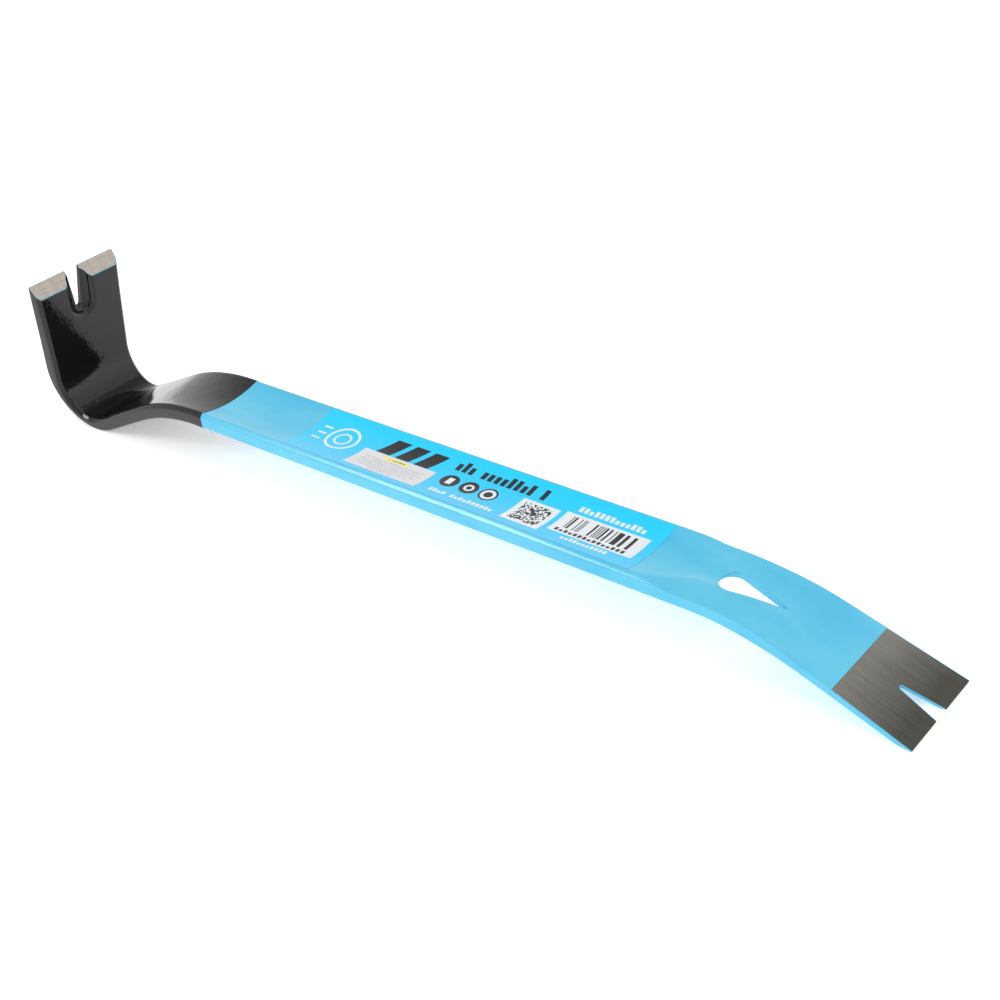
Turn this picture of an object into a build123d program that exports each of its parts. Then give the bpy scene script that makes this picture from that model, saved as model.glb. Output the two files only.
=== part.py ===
"""A 390 mm flat pry bar: one steel forging, its two coats of paint and the stickers on its shank.

The bar is drawn in its own frame, with the shank level: X runs from the back of the heel (x = 0)
to the claw, Y is across the bar, and z = 0 is the top of the shank's rims. It is then tipped and
moved so that the heel and the claw both stand on z = 0, with the origin under the middle of it.
"""
import os
from math import atan2, cos, degrees, hypot, radians, sin, sqrt, tan, asin

from build123d import *

# ---------------------------------------------------------------- driving sizes, mm and degrees
overall_length = 390.0      # back of the heel to the edge of the claw
bar_thickness = 6.2         # shank, rim to underside
shank_width = 32.4
rim_chamfer = 1.4           # 45 degrees, on the upper long edges of the shank, neck and hook
under_chamfer = 0.5         # the same along their lower and outer edges
hollow_depth = 2.1          # trough along the top of the shank
rim_land = 0.4              # flat left between the trough and the chamfer

hook_rise = 36.2            # hook's edge above the shank's rims
hook_lean = 6.0             # hook's face leans towards the claw, from square to the shank
hook_thickness = 6.2        # at the heel
hook_taper = 1.8            # the hook thins towards its edge by this angle
hook_flare = 10.0           # wider than the shank, across the ground edge
hook_root_flare = 7.4       # wider than the shank, a little above the shank's level
hook_root_height = 8.0
heel_flare = 2.8            # wider than the shank, along the lowest line of the heel
hook_flare_rate = 0.05      # growth of half the width per mm past the ground edge
hook_side_lean = 0.03       # slope of the hook's sides at its end
heel_outer_radius = 22.0
heel_inner_radius = 13.6
hook_edge_land = 0.6        # thickness of the ground edge
hook_bevel_rise = 5.7       # height of the ground bevel

neck_slope = 25.3           # the neck climbs from the heel to the shank
neck_thickness = 6.0
neck_station = 68.7         # where the neck's top line would meet the shank's
neck_inner_radius = 88.0
neck_outer_radius = 82.0

claw_length = 58.8          # from the middle of the bend to the claw's edge, along X
claw_top_drop = 1.9         # the flat claw starts this far under the rims
claw_under_lag = 0.8        # the bend is this much later underneath
rim_run_out = 15.0          # length in which the rims run out
rim_gap = 38.2              # from the start of that to the middle of the bend
run_out_radius = 30.0
chamfer_lead = 5.0          # the chamfers start to run out this far before the rims do
under_run_out = 18.0        # the lower chamfers are gone this far past the rims' end
flare_lead = 6.0            # the shank starts to widen this far past the neck
waist_lag = 12.0            # it starts to narrow this far past the rims' end
waist_lead = 6.0            # and is narrowest this far before the middle of the bend
trough_lead = 40.0          # the trough's cutter starts this far behind the neck's top line
trough_past_bend = 20.0     # and ends this far past the middle of the bend
claw_top_slope = 20.0
claw_under_slope = 18.5
claw_top_radius = 105.0
claw_under_radius = 150.0
claw_waist = 0.8            # narrower than the shank, just behind the bend
claw_flare = 5.4            # wider than the shank, across the claw's edge
claw_flare_rate = 0.1       # growth of half the width per mm past the claw's edge
claw_ground_length = 26.5   # bare steel face, measured along X
claw_ground_angle = 0.3     # the ground face thins the claw towards its edge
claw_edge_land = 0.3
claw_bevel_length = 5.2     # under the claw, measured along X

blue_coat = 0.2             # enamel on all of the forging
black_coat = 0.15           # lacquer over the enamel, on the hook and neck
black_end_station = 91.5

hook_notch_mouth = 6.8
hook_notch_depth = 17.8
hook_notch_end_radius = 1.4
relief_width = 14.2         # sunk bevel round the hook's notch, for the nail's head
relief_depth_down = 21.3    # from the hook's edge to the bottom of the relief
relief_sink = 3.4
relief_taper = 48.0
relief_end_share = 0.46     # radius of the relief's round end, as a share of its width

claw_notch_mouth = 5.8
claw_notch_depth = 13.2
claw_notch_end_radius = 0.7

slot_setback = 11.3         # centre of the nail slot's round end, behind the middle of the bend
slot_radius = 4.8
slot_reach = 18.7           # from that centre to the slot's narrow end
slot_tip_radius = 0.5

slot_web = 2.5              # left above the sunk field under the nail slot
slot_field_margin = 4.0     # sunk field round the slot
claw_web = 1.5              # left above the sunk field under the claw's notch, before grinding
claw_field_margin = 4.8     # sunk field round the claw's notch
claw_field_radius = 4.0
field_taper = -30.0
field_reach = 8.0

label_gap = 43.0            # from the black to the label
label_length = 155.0
label_width = 28.0
label_film = 0.12
sticker_gap = 28.5          # from the label's end to the sticker
sticker_length = 34.0
sticker_width = 12.5
sticker_side = -5.25        # middle of the sticker, off the bar's centre line
sticker_paper = 0.1

claw_station = overall_length - claw_length
claw_under_station = claw_station + claw_under_lag
rim_end_station = claw_station - rim_gap
slot_station = claw_station - slot_setback
label_start = black_end_station + label_gap
sticker_start = label_start + sticker_gap
claw_waist_width = shank_width - claw_waist
claw_width = shank_width + claw_flare
hook_width = shank_width + hook_flare
hook_root_width = shank_width + hook_root_flare
heel_width = shank_width + heel_flare
overrun = 12.0              # the forging is drawn longer than its ground edges
past_edge = overrun + 2.0   # and its notches' cutters longer still
bevel_overcut = 2.0
paint_overcut = 0.03        # depth of steel ground away with the paint
sliver = 0.05               # smallest end of a cutter
reach = 60.0                # half the size of a cutting block


# ---------------------------------------------------------------- side profile
def meet(p, angle_p, q, angle_q):
    """The point where the line through p meets the line through q, angles in degrees from +X."""
    dp = (cos(radians(angle_p)), sin(radians(angle_p)))
    dq = (cos(radians(angle_q)), sin(radians(angle_q)))
    turn = dp[0] * dq[1] - dp[1] * dq[0]
    along = ((q[0] - p[0]) * dq[1] - (q[1] - p[1]) * dq[0]) / turn
    return (p[0] + along * dp[0], p[1] + along * dp[1])


def shifted(p, angle, distance):
    """The point p moved square to a line at this angle, to the line's right-hand side."""
    return (p[0] + distance * sin(radians(angle)), p[1] - distance * cos(radians(angle)))


def grown(points, radii, skin):
    """The corners and radii of a rounded line after it moves by skin to its left."""
    angles = [degrees(atan2(b[1] - a[1], b[0] - a[0])) for a, b in zip(points, points[1:])]
    starts = [shifted(p, angle, -skin) for p, angle in zip(points, angles)]
    corners = [meet(p, a, q, b) for p, a, q, b in zip(starts, angles, starts[1:], angles[1:])]
    turns = [1 if sin(radians(b - a)) > 0 else -1 for a, b in zip(angles, angles[1:])]
    new_radii = [radius - turn * skin for radius, turn in zip(radii, turns)]
    return [starts[0], *corners, shifted(points[-1], angles[-1], -skin)], new_radii


hook_angle = 90.0 - hook_lean
neck_top = (neck_station, 0.0)
neck_under = shifted(neck_top, neck_slope, neck_thickness)
neck_under_corner = meet(neck_under, neck_slope, (0.0, -bar_thickness), 0.0)

# the heel's outer arc touches x = 0 and the underside of the neck
heel_centre = (
    heel_outer_radius,
    neck_under[1]
    + (heel_outer_radius - neck_under[0]) * tan(radians(neck_slope))
    + heel_outer_radius / cos(radians(neck_slope)),
)
back_angle = hook_angle - hook_taper
hook_back = shifted(heel_centre, back_angle, -heel_outer_radius)
hook_face = shifted(heel_centre, hook_angle, hook_thickness - heel_outer_radius)
heel_outer_corner = meet(hook_back, back_angle, neck_under, neck_slope)
heel_inner_corner = meet(hook_face, hook_angle, neck_top, neck_slope)
hook_end_back = meet(hook_back, back_angle, (0.0, hook_rise + overrun), 0.0)
hook_end_face = meet(hook_face, hook_angle, (0.0, hook_rise + overrun), 0.0)

claw_top_corner = (claw_station, -claw_top_drop)
claw_under_corner = (claw_under_station, -bar_thickness)
claw_end = overall_length + overrun
claw_end_top = meet(claw_top_corner, -claw_top_slope, (claw_end, 0.0), 90.0)
claw_end_under = meet(claw_under_corner, -claw_under_slope, (claw_end, 0.0), 90.0)

top_line = [
    hook_end_face,
    heel_inner_corner,
    neck_top,
    (rim_end_station, 0.0),
    (rim_end_station + rim_run_out, -claw_top_drop),
    claw_top_corner,
    claw_end_top,
]
top_radii = [
    heel_inner_radius, neck_inner_radius, run_out_radius, run_out_radius, claw_top_radius,
]
under_line = [hook_end_back, heel_outer_corner, neck_under_corner, claw_under_corner, claw_end_under]
under_radii = [heel_outer_radius, neck_outer_radius, claw_under_radius]

# ---------------------------------------------------------------- outline across the bar
# It is drawn on a plane that faces along the bisector of the heel, so that one outline gives
# the widths of the upright hook and of the level shank.
outline_plane = Plane(origin=(0, 0, 0), x_dir=(-1, 0, 1), z_dir=(1, 0, 1))


def across(x, z, width):
    """A point of the outline: the place of (x, z) along it, and half the width there."""
    return ((z - x) / sqrt(2), width / 2)


heel_bottom = (heel_centre[0], heel_centre[1] - heel_outer_radius)
front_sides = [
    across(claw_end, claw_end_top[1], claw_width + claw_flare_rate * overrun),
    across(claw_station - waist_lead, -claw_top_drop, claw_waist_width),
    across(rim_end_station + waist_lag, 0, shank_width),
    across(neck_station + flare_lead, 0, shank_width),
]
front_side_radii = [200.0, 400.0]
hook_sides = [
    front_sides[-1],
    across(*heel_bottom, heel_width),
    across(heel_inner_corner[0], hook_root_height, hook_root_width),
    across(hook_end_face[0], hook_rise + overrun, hook_width + hook_flare_rate * overrun),
]
hook_side_tangents = [(1, 0), (1, hook_side_lean)]

# ---------------------------------------------------------------- trough, notches and slot
trough_half_width = shank_width / 2 - rim_chamfer - rim_land
trough_radius = (trough_half_width**2 + hollow_depth**2) / (2 * hollow_depth)
trough_axis_height = trough_radius - hollow_depth

hook_tip_back = meet(hook_back, back_angle, (0.0, hook_rise), 0.0)
hook_tip_face = meet(hook_face, hook_angle, (0.0, hook_rise), 0.0)
face_plane = Plane(
    origin=(hook_tip_face[0], 0, hook_tip_face[1]),
    x_dir=(0, 1, 0),
    z_dir=(cos(radians(hook_lean)), 0, -sin(radians(hook_lean))),
)
claw_tip_top = meet(claw_top_corner, -claw_top_slope, (overall_length, 0.0), 90.0)
claw_field_plane = Plane(
    origin=(claw_tip_top[0], 0, claw_tip_top[1]),
    x_dir=(0, -1, 0),
    z_dir=(sin(radians(claw_top_slope)), 0, cos(radians(claw_top_slope))),
)


def bend_height(x):
    """Height of the top of the claw's bend."""
    past = x - (claw_station - claw_top_radius * tan(radians(claw_top_slope / 2)))
    return sqrt(claw_top_radius**2 - past**2) - claw_top_radius - claw_top_drop


slot_end = slot_station + slot_reach
slot_fall = atan2(bend_height(slot_station) - bend_height(slot_end), slot_reach)
slot_field_plane = Plane(
    origin=(slot_station, 0, bend_height(slot_station)),
    x_dir=(cos(slot_fall), 0, -sin(slot_fall)),
    z_dir=(sin(slot_fall), 0, cos(slot_fall)),
)


def v_outline(mouth, depth, end_radius, above):
    """A V with a round end, its mouth on y = 0 and its end at y = -depth, drawn on past its mouth."""
    centre = depth - end_radius
    half = mouth / 2
    lean = asin(end_radius / hypot(half, centre)) - atan2(half, centre)
    run = cos(lean), sin(lean)
    touch = (end_radius * run[0], -centre + end_radius * run[1])
    slope = (half - touch[0]) / -touch[1]
    top = (half + slope * above, above)
    with BuildSketch(mode=Mode.PRIVATE) as outline:
        with BuildLine():
            Line((0, above), top)
            Line(top, touch)
            ThreePointArc(touch, (0, -depth), (-touch[0], touch[1]))
            Line((-touch[0], touch[1]), (-top[0], above))
            Line((-top[0], above), (0, above))
        make_face()
    return outline.sketch


def teardrop(radius, tip_distance, tip_radius):
    """A round end about the origin and a narrow end on +X, joined by straight walls."""
    with BuildSketch(mode=Mode.PRIVATE) as outline:
        Circle(radius)
        with Locations((tip_distance - tip_radius, 0)):
            Circle(tip_radius)
        make_hull()
    return outline.sketch


def follows(edge, side):
    """Whether an edge of the blank runs along this side of the profile."""
    middle = edge.position_at(0.5)
    return abs(middle.Y) > sliver and Vertex(middle.X, middle.Z, 0).distance_to(side) < sliver


def forging(skin):
    """The whole forging, unground, with every surface moved outwards by skin."""
    leg = rim_chamfer + skin * (2 - sqrt(2))
    under_leg = under_chamfer + skin * (2 - sqrt(2))

    top, top_bends = grown(top_line, top_radii, skin)
    under, under_bends = grown(under_line, under_radii, -skin)
    front, front_bends = grown(front_sides, front_side_radii, skin)
    back = [(station, half_width + skin) for station, half_width in hook_sides]

    with BuildPart() as blank:
        with BuildSketch(Plane.XZ) as profile:
            with BuildLine():
                top_side = FilletPolyline(*top, radius=top_bends)
                under_side = FilletPolyline(*under, radius=under_bends)
                Line(top[0], under[0])
                Line(top[-1], under[-1])
            make_face()
        extrude(amount=reach, both=True)
        with BuildSketch(outline_plane) as outline:
            with BuildLine():
                FilletPolyline(*front, radius=front_bends)
                Spline(*back, tangents=hook_side_tangents)
                Polyline(front[0], (front[0][0], 0), (back[-1][0], 0), back[-1])
            make_face()
            mirror(about=Plane.XZ)
        extrude(amount=10 * reach, both=True, mode=Mode.INTERSECT)

    # the hook, neck and shank have chamfered edges, and the claw has square ones
    chamfer_end = Plane.YZ.offset(rim_end_station - chamfer_lead)
    with BuildPart() as chamfered:
        add(blank.part)
        split(bisect_by=chamfer_end, keep=Keep.BOTTOM)
        chamfer([edge for edge in chamfered.edges() if follows(edge, top_side)], leg)
        chamfer([edge for edge in chamfered.edges() if follows(edge, under_side)], under_leg)

    with BuildPart() as bar:
        add(blank.part)
        split(bisect_by=chamfer_end, keep=Keep.TOP)
        half = shank_width / 2 + skin
        with BuildSketch(chamfer_end) as top_corner:
            with BuildLine():
                Polyline((half - leg, skin), (half + 1, skin - leg - 1), (half + 1, skin + 1),
                         (half - leg, skin + 1), close=True)
            make_face()
            mirror(about=Plane.YZ)
        extrude(amount=2 * rim_run_out, mode=Mode.SUBTRACT)
        for side in (1, -1):
            with BuildSketch(chamfer_end) as deep_end:
                with BuildLine():
                    Polyline((side * (half - under_leg), -bar_thickness - skin),
                             (side * half, -bar_thickness - skin),
                             (side * half, -bar_thickness - skin + under_leg), close=True)
                make_face()
            with BuildSketch(Plane.YZ.offset(rim_end_station + under_run_out)) as thin_end:
                with BuildLine():
                    Polyline((side * (half - sliver), -bar_thickness - skin),
                             (side * half, -bar_thickness - skin),
                             (side * half, -bar_thickness - skin + sliver), close=True)
                make_face()
            loft(mode=Mode.SUBTRACT)
        add(chamfered.part)
        with BuildSketch(Plane.YZ.offset(neck_station - trough_lead)) as trough:
            with Locations((0, trough_axis_height)):
                Circle(trough_radius - skin)
        extrude(amount=claw_station + trough_past_bend - neck_station + trough_lead, mode=Mode.SUBTRACT)
        with BuildSketch(face_plane) as hook_notch:
            add(v_outline(hook_notch_mouth - 2 * skin, hook_notch_depth - skin,
                          hook_notch_end_radius - skin, past_edge))
        extrude(amount=reach / 2, both=True, mode=Mode.SUBTRACT)
        with BuildSketch(face_plane.offset(skin)) as relief:
            add(v_outline(relief_width, relief_depth_down, relief_end_share * relief_width, past_edge))
        extrude(amount=-relief_sink, taper=relief_taper, mode=Mode.SUBTRACT)
        with BuildSketch(Plane.XY.offset(-reach)) as claw_notch:
            with Locations(Location((overall_length, 0, 0), (0, 0, -90))):
                add(v_outline(claw_notch_mouth - 2 * skin, claw_notch_depth - skin,
                              claw_notch_end_radius - skin, past_edge))
        extrude(amount=reach, mode=Mode.SUBTRACT)
        with BuildSketch(Plane.XY.offset(-reach)) as nail_slot:
            with Locations((slot_station, 0)):
                add(teardrop(slot_radius - skin, slot_reach - skin, slot_tip_radius - skin))
        extrude(amount=2 * reach, mode=Mode.SUBTRACT)
        margin = slot_field_margin - skin
        with BuildSketch(slot_field_plane.offset(-slot_web - skin)) as slot_field:
            add(teardrop(slot_radius + margin, slot_reach + margin, slot_tip_radius + margin))
        extrude(amount=-field_reach, taper=field_taper, mode=Mode.SUBTRACT)
        with BuildSketch(claw_field_plane.offset(-claw_web - skin)) as claw_field:
            add(v_outline(claw_notch_mouth + 2 * (claw_field_margin - skin),
                          claw_notch_depth + claw_field_margin - skin,
                          claw_field_radius - skin, past_edge))
        extrude(amount=-field_reach, taper=field_taper, mode=Mode.SUBTRACT)
    return bar.part


# ---------------------------------------------------------------- grinding, after the paint
enamel_skin = -black_coat
steel_skin = enamel_skin - blue_coat

hook_edge = (hook_tip_back[0] + hook_edge_land, hook_rise)
bevel_root = meet(hook_face, hook_angle, (0.0, hook_rise - hook_bevel_rise), 0.0)
bevel_angle = degrees(atan2(bevel_root[1] - hook_edge[1], bevel_root[0] - hook_edge[0]))
bevel_out = meet(hook_edge, bevel_angle, (bevel_root[0] + bevel_overcut, 0.0), 90.0)

ground_start_top = meet(claw_top_corner, -claw_top_slope, (overall_length - claw_ground_length, 0.0), 90.0)
ground_start = shifted(ground_start_top, -claw_top_slope, -steel_skin + paint_overcut)
ground_angle = -claw_top_slope - claw_ground_angle
ground_end = meet(ground_start, ground_angle, (claw_end, 0.0), 90.0)
ground_tip = meet(ground_start, ground_angle, (overall_length, 0.0), 90.0)

claw_edge = (overall_length, ground_tip[1] - claw_edge_land)
claw_heel = meet(
    shifted(claw_under_corner, -claw_under_slope, enamel_skin), -claw_under_slope,
    (overall_length - claw_bevel_length, 0.0), 90.0,
)

with BuildPart() as grinding:
    with BuildSketch(Plane.XZ) as hook_stock:
        with BuildLine():
            Polyline(hook_edge, bevel_out, (bevel_out[0], reach), (-overrun, reach),
                     (-overrun, hook_rise), close=True)
        make_face()
    extrude(amount=reach, both=True)
    with BuildSketch(Plane.XZ) as claw_face_stock:
        with BuildLine():
            Polyline(ground_start, shifted(ground_start, -claw_top_slope, -overrun),
                     (claw_end, overrun), ground_end, close=True)
        make_face()
    extrude(amount=reach, both=True)
    with BuildSketch(Plane.XZ) as claw_end_stock:
        with BuildLine():
            Polyline(ground_tip, claw_edge, claw_heel, (claw_heel[0], -reach), (claw_end + 1, -reach),
                     (claw_end + 1, ground_tip[1]), close=True)
        make_face()
    extrude(amount=reach, both=True)

# ---------------------------------------------------------------- how it stands
def tilt_to(point):
    """The slope, in radians, of the line that touches the heel's arc from below and passes through point."""
    run = (point[0] - heel_centre[0], point[1] - heel_centre[1])
    return atan2(run[1], run[0]) + asin(heel_outer_radius / hypot(*run))


rest_tilt = min(tilt_to(claw_heel), tilt_to(claw_edge))
heel_x = heel_centre[0] * cos(rest_tilt) + heel_centre[1] * sin(rest_tilt)
heel_z = heel_centre[1] * cos(rest_tilt) - heel_centre[0] * sin(rest_tilt)
back = heel_x - heel_outer_radius
front = ground_tip[0] * cos(rest_tilt) + ground_tip[1] * sin(rest_tilt)
standing = Location((-(back + front) / 2, 0, heel_outer_radius - heel_z), (0, degrees(rest_tilt), 0))

# ---------------------------------------------------------------- the pieces
outer_shape = forging(0.0)
enamelled_shape = forging(enamel_skin)
steel_shape = forging(steel_skin)

with BuildPart() as steel_blank:
    add(steel_shape)
    add(grinding.part, mode=Mode.SUBTRACT)

with BuildPart() as enamel_blank:
    add(enamelled_shape)
    add(steel_shape, mode=Mode.SUBTRACT)
    add(grinding.part, mode=Mode.SUBTRACT)

with BuildPart() as lacquer_blank:
    add(outer_shape)
    split(bisect_by=Plane.YZ.offset(black_end_station), keep=Keep.BOTTOM)
    add(enamelled_shape, mode=Mode.SUBTRACT)
    add(grinding.part, mode=Mode.SUBTRACT)

trough_enamel_radius = trough_radius - enamel_skin

with BuildPart() as label_blank:
    with BuildSketch(Plane.YZ.offset(label_start)) as label_section:
        with Locations((0, trough_axis_height)):
            Circle(trough_enamel_radius)
            Circle(trough_enamel_radius - label_film, mode=Mode.SUBTRACT)
        Rectangle(label_width, 4 * hollow_depth, mode=Mode.INTERSECT)
    extrude(amount=label_length)

with BuildPart() as sticker_blank:
    with BuildSketch(Plane.YZ.offset(sticker_start)) as sticker_section:
        with Locations((0, trough_axis_height)):
            Circle(trough_enamel_radius - label_film)
            Circle(trough_enamel_radius - label_film - sticker_paper, mode=Mode.SUBTRACT)
        with Locations((sticker_side, 0)):
            Rectangle(sticker_width, 4 * hollow_depth, mode=Mode.INTERSECT)
    extrude(amount=sticker_length)

os.makedirs("parts", exist_ok=True)

with BuildPart() as forged_bar:
    with Locations(standing):
        add(steel_blank.part)
forged_bar.part.label = "forged_bar"
export_step(forged_bar.part, "parts/forged_bar.step")

with BuildPart() as enamel_coat:
    with Locations(standing):
        add(enamel_blank.part)
enamel_coat.part.label = "enamel_coat"
export_step(enamel_coat.part, "parts/enamel_coat.step")

with BuildPart() as lacquer_coat:
    with Locations(standing):
        add(lacquer_blank.part)
lacquer_coat.part.label = "lacquer_coat"
export_step(lacquer_coat.part, "parts/lacquer_coat.step")

with BuildPart() as shank_label:
    with Locations(standing):
        add(label_blank.part)
shank_label.part.label = "shank_label"
export_step(shank_label.part, "parts/shank_label.step")

with BuildPart() as notice_sticker:
    with Locations(standing):
        add(sticker_blank.part)
notice_sticker.part.label = "notice_sticker"
export_step(notice_sticker.part, "parts/notice_sticker.step")

print(f"rest tilt {degrees(rest_tilt):.3f} degrees, trough radius {trough_radius:.2f} mm")
print(f"standing moves the bar by {standing.position}")
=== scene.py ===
"""The looks of a 390 mm flat pry bar: bare ground steel, light blue enamel, black lacquer, a
printed label and a paper sticker, on a pale floor in soft studio light.

The bar is worked out in its own frame, in millimetres: x runs from the back of the heel to the
claw, y is across the bar, and z = 0 is the top of the shank's rims. It is then tipped and moved
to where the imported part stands.
"""
from math import asin, atan2, cos, degrees, hypot, pi, radians, sin, sqrt, tan
from types import SimpleNamespace

import bpy
import numpy as np
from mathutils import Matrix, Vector


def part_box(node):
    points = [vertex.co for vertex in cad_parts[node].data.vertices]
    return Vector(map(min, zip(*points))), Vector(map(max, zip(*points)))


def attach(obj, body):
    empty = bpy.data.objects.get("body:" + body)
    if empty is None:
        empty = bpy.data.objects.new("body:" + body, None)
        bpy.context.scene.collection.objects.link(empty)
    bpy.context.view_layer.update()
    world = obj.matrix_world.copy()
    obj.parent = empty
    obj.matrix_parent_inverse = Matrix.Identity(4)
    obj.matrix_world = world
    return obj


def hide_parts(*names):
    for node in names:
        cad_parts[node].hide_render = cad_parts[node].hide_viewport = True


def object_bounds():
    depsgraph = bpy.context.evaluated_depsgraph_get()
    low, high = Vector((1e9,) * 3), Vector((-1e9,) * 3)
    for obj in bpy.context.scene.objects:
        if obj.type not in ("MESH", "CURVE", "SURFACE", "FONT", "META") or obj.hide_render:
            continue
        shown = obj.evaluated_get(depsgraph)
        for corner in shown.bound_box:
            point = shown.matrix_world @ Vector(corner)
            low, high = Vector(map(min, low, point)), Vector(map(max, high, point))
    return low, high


bl_info = {
    "name": "Pry Bar",
    "version": (1, 0, 0),
    "blender": (4, 5, 0),
    "location": "3D View > Sidebar > Pry Bar",
    "description": "Builds a flat pry bar with enamel, lacquer, label and sticker",
    "category": "Add Mesh",
}

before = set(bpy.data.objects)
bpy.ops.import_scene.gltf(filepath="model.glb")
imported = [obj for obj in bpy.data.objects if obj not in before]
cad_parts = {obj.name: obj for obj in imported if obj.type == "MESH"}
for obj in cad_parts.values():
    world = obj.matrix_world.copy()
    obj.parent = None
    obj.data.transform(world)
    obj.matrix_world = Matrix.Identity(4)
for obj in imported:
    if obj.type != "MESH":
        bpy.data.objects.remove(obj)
CAD_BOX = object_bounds()


# ---------------------------------------------------------------- values a user would change
def srgb(code):
    """A hex colour such as '#65c8f1' as linear red, green and blue."""
    parts = np.array([int(code[i:i + 2], 16) for i in (1, 3, 5)]) / 255
    linear = np.where(parts <= 0.04045, parts / 12.92, ((parts + 0.055) / 1.055) ** 2.4)
    return tuple(float(value) for value in linear)


def size(millimetres, about):
    """A length property. Its default is given in millimetres and held in metres."""
    return bpy.props.FloatProperty(
        description=about, default=millimetres / 1000, unit="LENGTH", precision=5
    )


def slope(angle, about):
    """An angle property. Its default is given in degrees and held in radians."""
    return bpy.props.FloatProperty(description=about, default=radians(angle), unit="ROTATION")


def paint(code, about):
    """A colour property. Its default is given as a hex code and held as linear values."""
    return bpy.props.FloatVectorProperty(
        description=about, default=srgb(code), size=3, subtype="COLOR", min=0, max=1
    )


class PryBarSizes(bpy.types.PropertyGroup):
    overall_length: size(390.0, "Back of the heel to the edge of the claw")
    bar_thickness: size(6.2, "Shank, rim to underside")
    shank_width: size(32.4, "Across the shank")
    rim_chamfer: size(1.4, "45 degree chamfer along the upper long edges")
    under_chamfer: size(0.5, "45 degree chamfer along the lower and outer edges")
    hollow_depth: size(2.1, "Depth of the trough along the shank")
    rim_land: size(0.4, "Flat between the trough and the chamfer")
    hook_rise: size(36.2, "Hook's edge above the shank's rims")
    hook_thickness: size(6.2, "Through the hook")
    hook_width: size(42.4, "Across the hook's ground edge")
    hook_root_width: size(39.8, "Across the hook near the shank's level")
    hook_root_height: size(8.0, "Where the root width is taken")
    heel_width: size(35.2, "Across the lowest line of the heel")
    heel_outer_radius: size(22.0, "Outside of the heel's bend")
    heel_inner_radius: size(13.6, "Inside of the heel's bend")
    hook_edge_land: size(0.6, "Thickness of the hook's ground edge")
    hook_bevel_rise: size(5.7, "Height of the hook's ground bevel")
    neck_thickness: size(6.0, "Through the neck")
    neck_station: size(68.7, "Where the neck's top line meets the shank's")
    neck_inner_radius: size(88.0, "Bend on top of the neck")
    neck_outer_radius: size(82.0, "Bend under the neck")
    claw_length: size(58.8, "Middle of the bend to the claw's edge")
    claw_top_drop: size(1.9, "The flat claw starts this far under the rims")
    claw_under_lag: size(0.8, "The bend is this much later underneath")
    rim_run_out: size(15.0, "Length in which the rims run out")
    rim_gap: size(38.2, "Start of the run-out to the middle of the bend")
    rim_ease: size(2.0, "Half length of the easing at each end of the run-out")
    claw_top_radius: size(105.0, "Bend on top of the claw")
    claw_under_radius: size(150.0, "Bend under the claw")
    claw_waist_width: size(31.6, "Just behind the bend")
    claw_width: size(37.8, "Across the claw's edge")
    claw_ground_length: size(26.5, "Bare steel face of the claw")
    claw_edge_land: size(0.3, "Thickness of the claw's edge")
    claw_bevel_length: size(5.2, "Ground bevel under the claw")
    blue_coat: size(0.2, "Thickness of the enamel")
    black_coat: size(0.15, "Thickness of the lacquer")
    black_end: size(91.5, "Where the lacquer stops")
    hook_notch_mouth: size(6.8, "Width of the hook's notch")
    hook_notch_depth: size(17.8, "Depth of the hook's notch")
    hook_notch_radius: size(1.4, "Round end of the hook's notch")
    relief_width: size(14.2, "Sunk bevel round the hook's notch")
    relief_depth: size(21.3, "From the hook's edge to the bottom of the relief")
    relief_sink: size(3.4, "How deep the relief's walls go")
    claw_notch_mouth: size(5.8, "Width of the claw's notch")
    claw_notch_depth: size(13.2, "Depth of the claw's notch")
    claw_notch_radius: size(0.7, "Round end of the claw's notch")
    slot_setback: size(11.3, "Slot's round end behind the middle of the bend")
    slot_radius: size(4.8, "Round end of the nail slot")
    slot_reach: size(18.7, "Round end's centre to the narrow end")
    slot_tip_radius: size(0.5, "Narrow end of the nail slot")
    slot_web: size(2.5, "Left above the sunk field under the nail slot")
    slot_margin: size(4.0, "Sunk field round the nail slot")
    claw_web: size(1.5, "Left above the sunk field under the claw's notch")
    claw_margin: size(4.8, "Sunk field round the claw's notch")
    claw_field_radius: size(4.0, "Round end of the claw's sunk field")
    label_film: size(0.12, "Thickness of the label")
    sticker_paper: size(0.1, "Thickness of the sticker")
    painted_edge: size(0.5, "How far paint rounds an edge")
    steel_edge: size(0.2, "How far the steel's edges are rounded")
    hook_taper: slope(1.8, "The hook thins towards its edge by this angle")
    hook_lean: slope(6.0, "Hook's face from square to the shank")
    neck_slope: slope(25.3, "Climb of the neck")
    claw_top_slope: slope(20.0, "Fall of the claw's top")
    claw_under_slope: slope(18.5, "Fall of the claw's underside")
    ground_angle: slope(0.3, "How much the ground face thins the claw")
    field_taper: slope(30.0, "Slant of the sunk fields' walls")
    relief_taper: slope(48.0, "Slant of the relief's walls")


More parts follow.
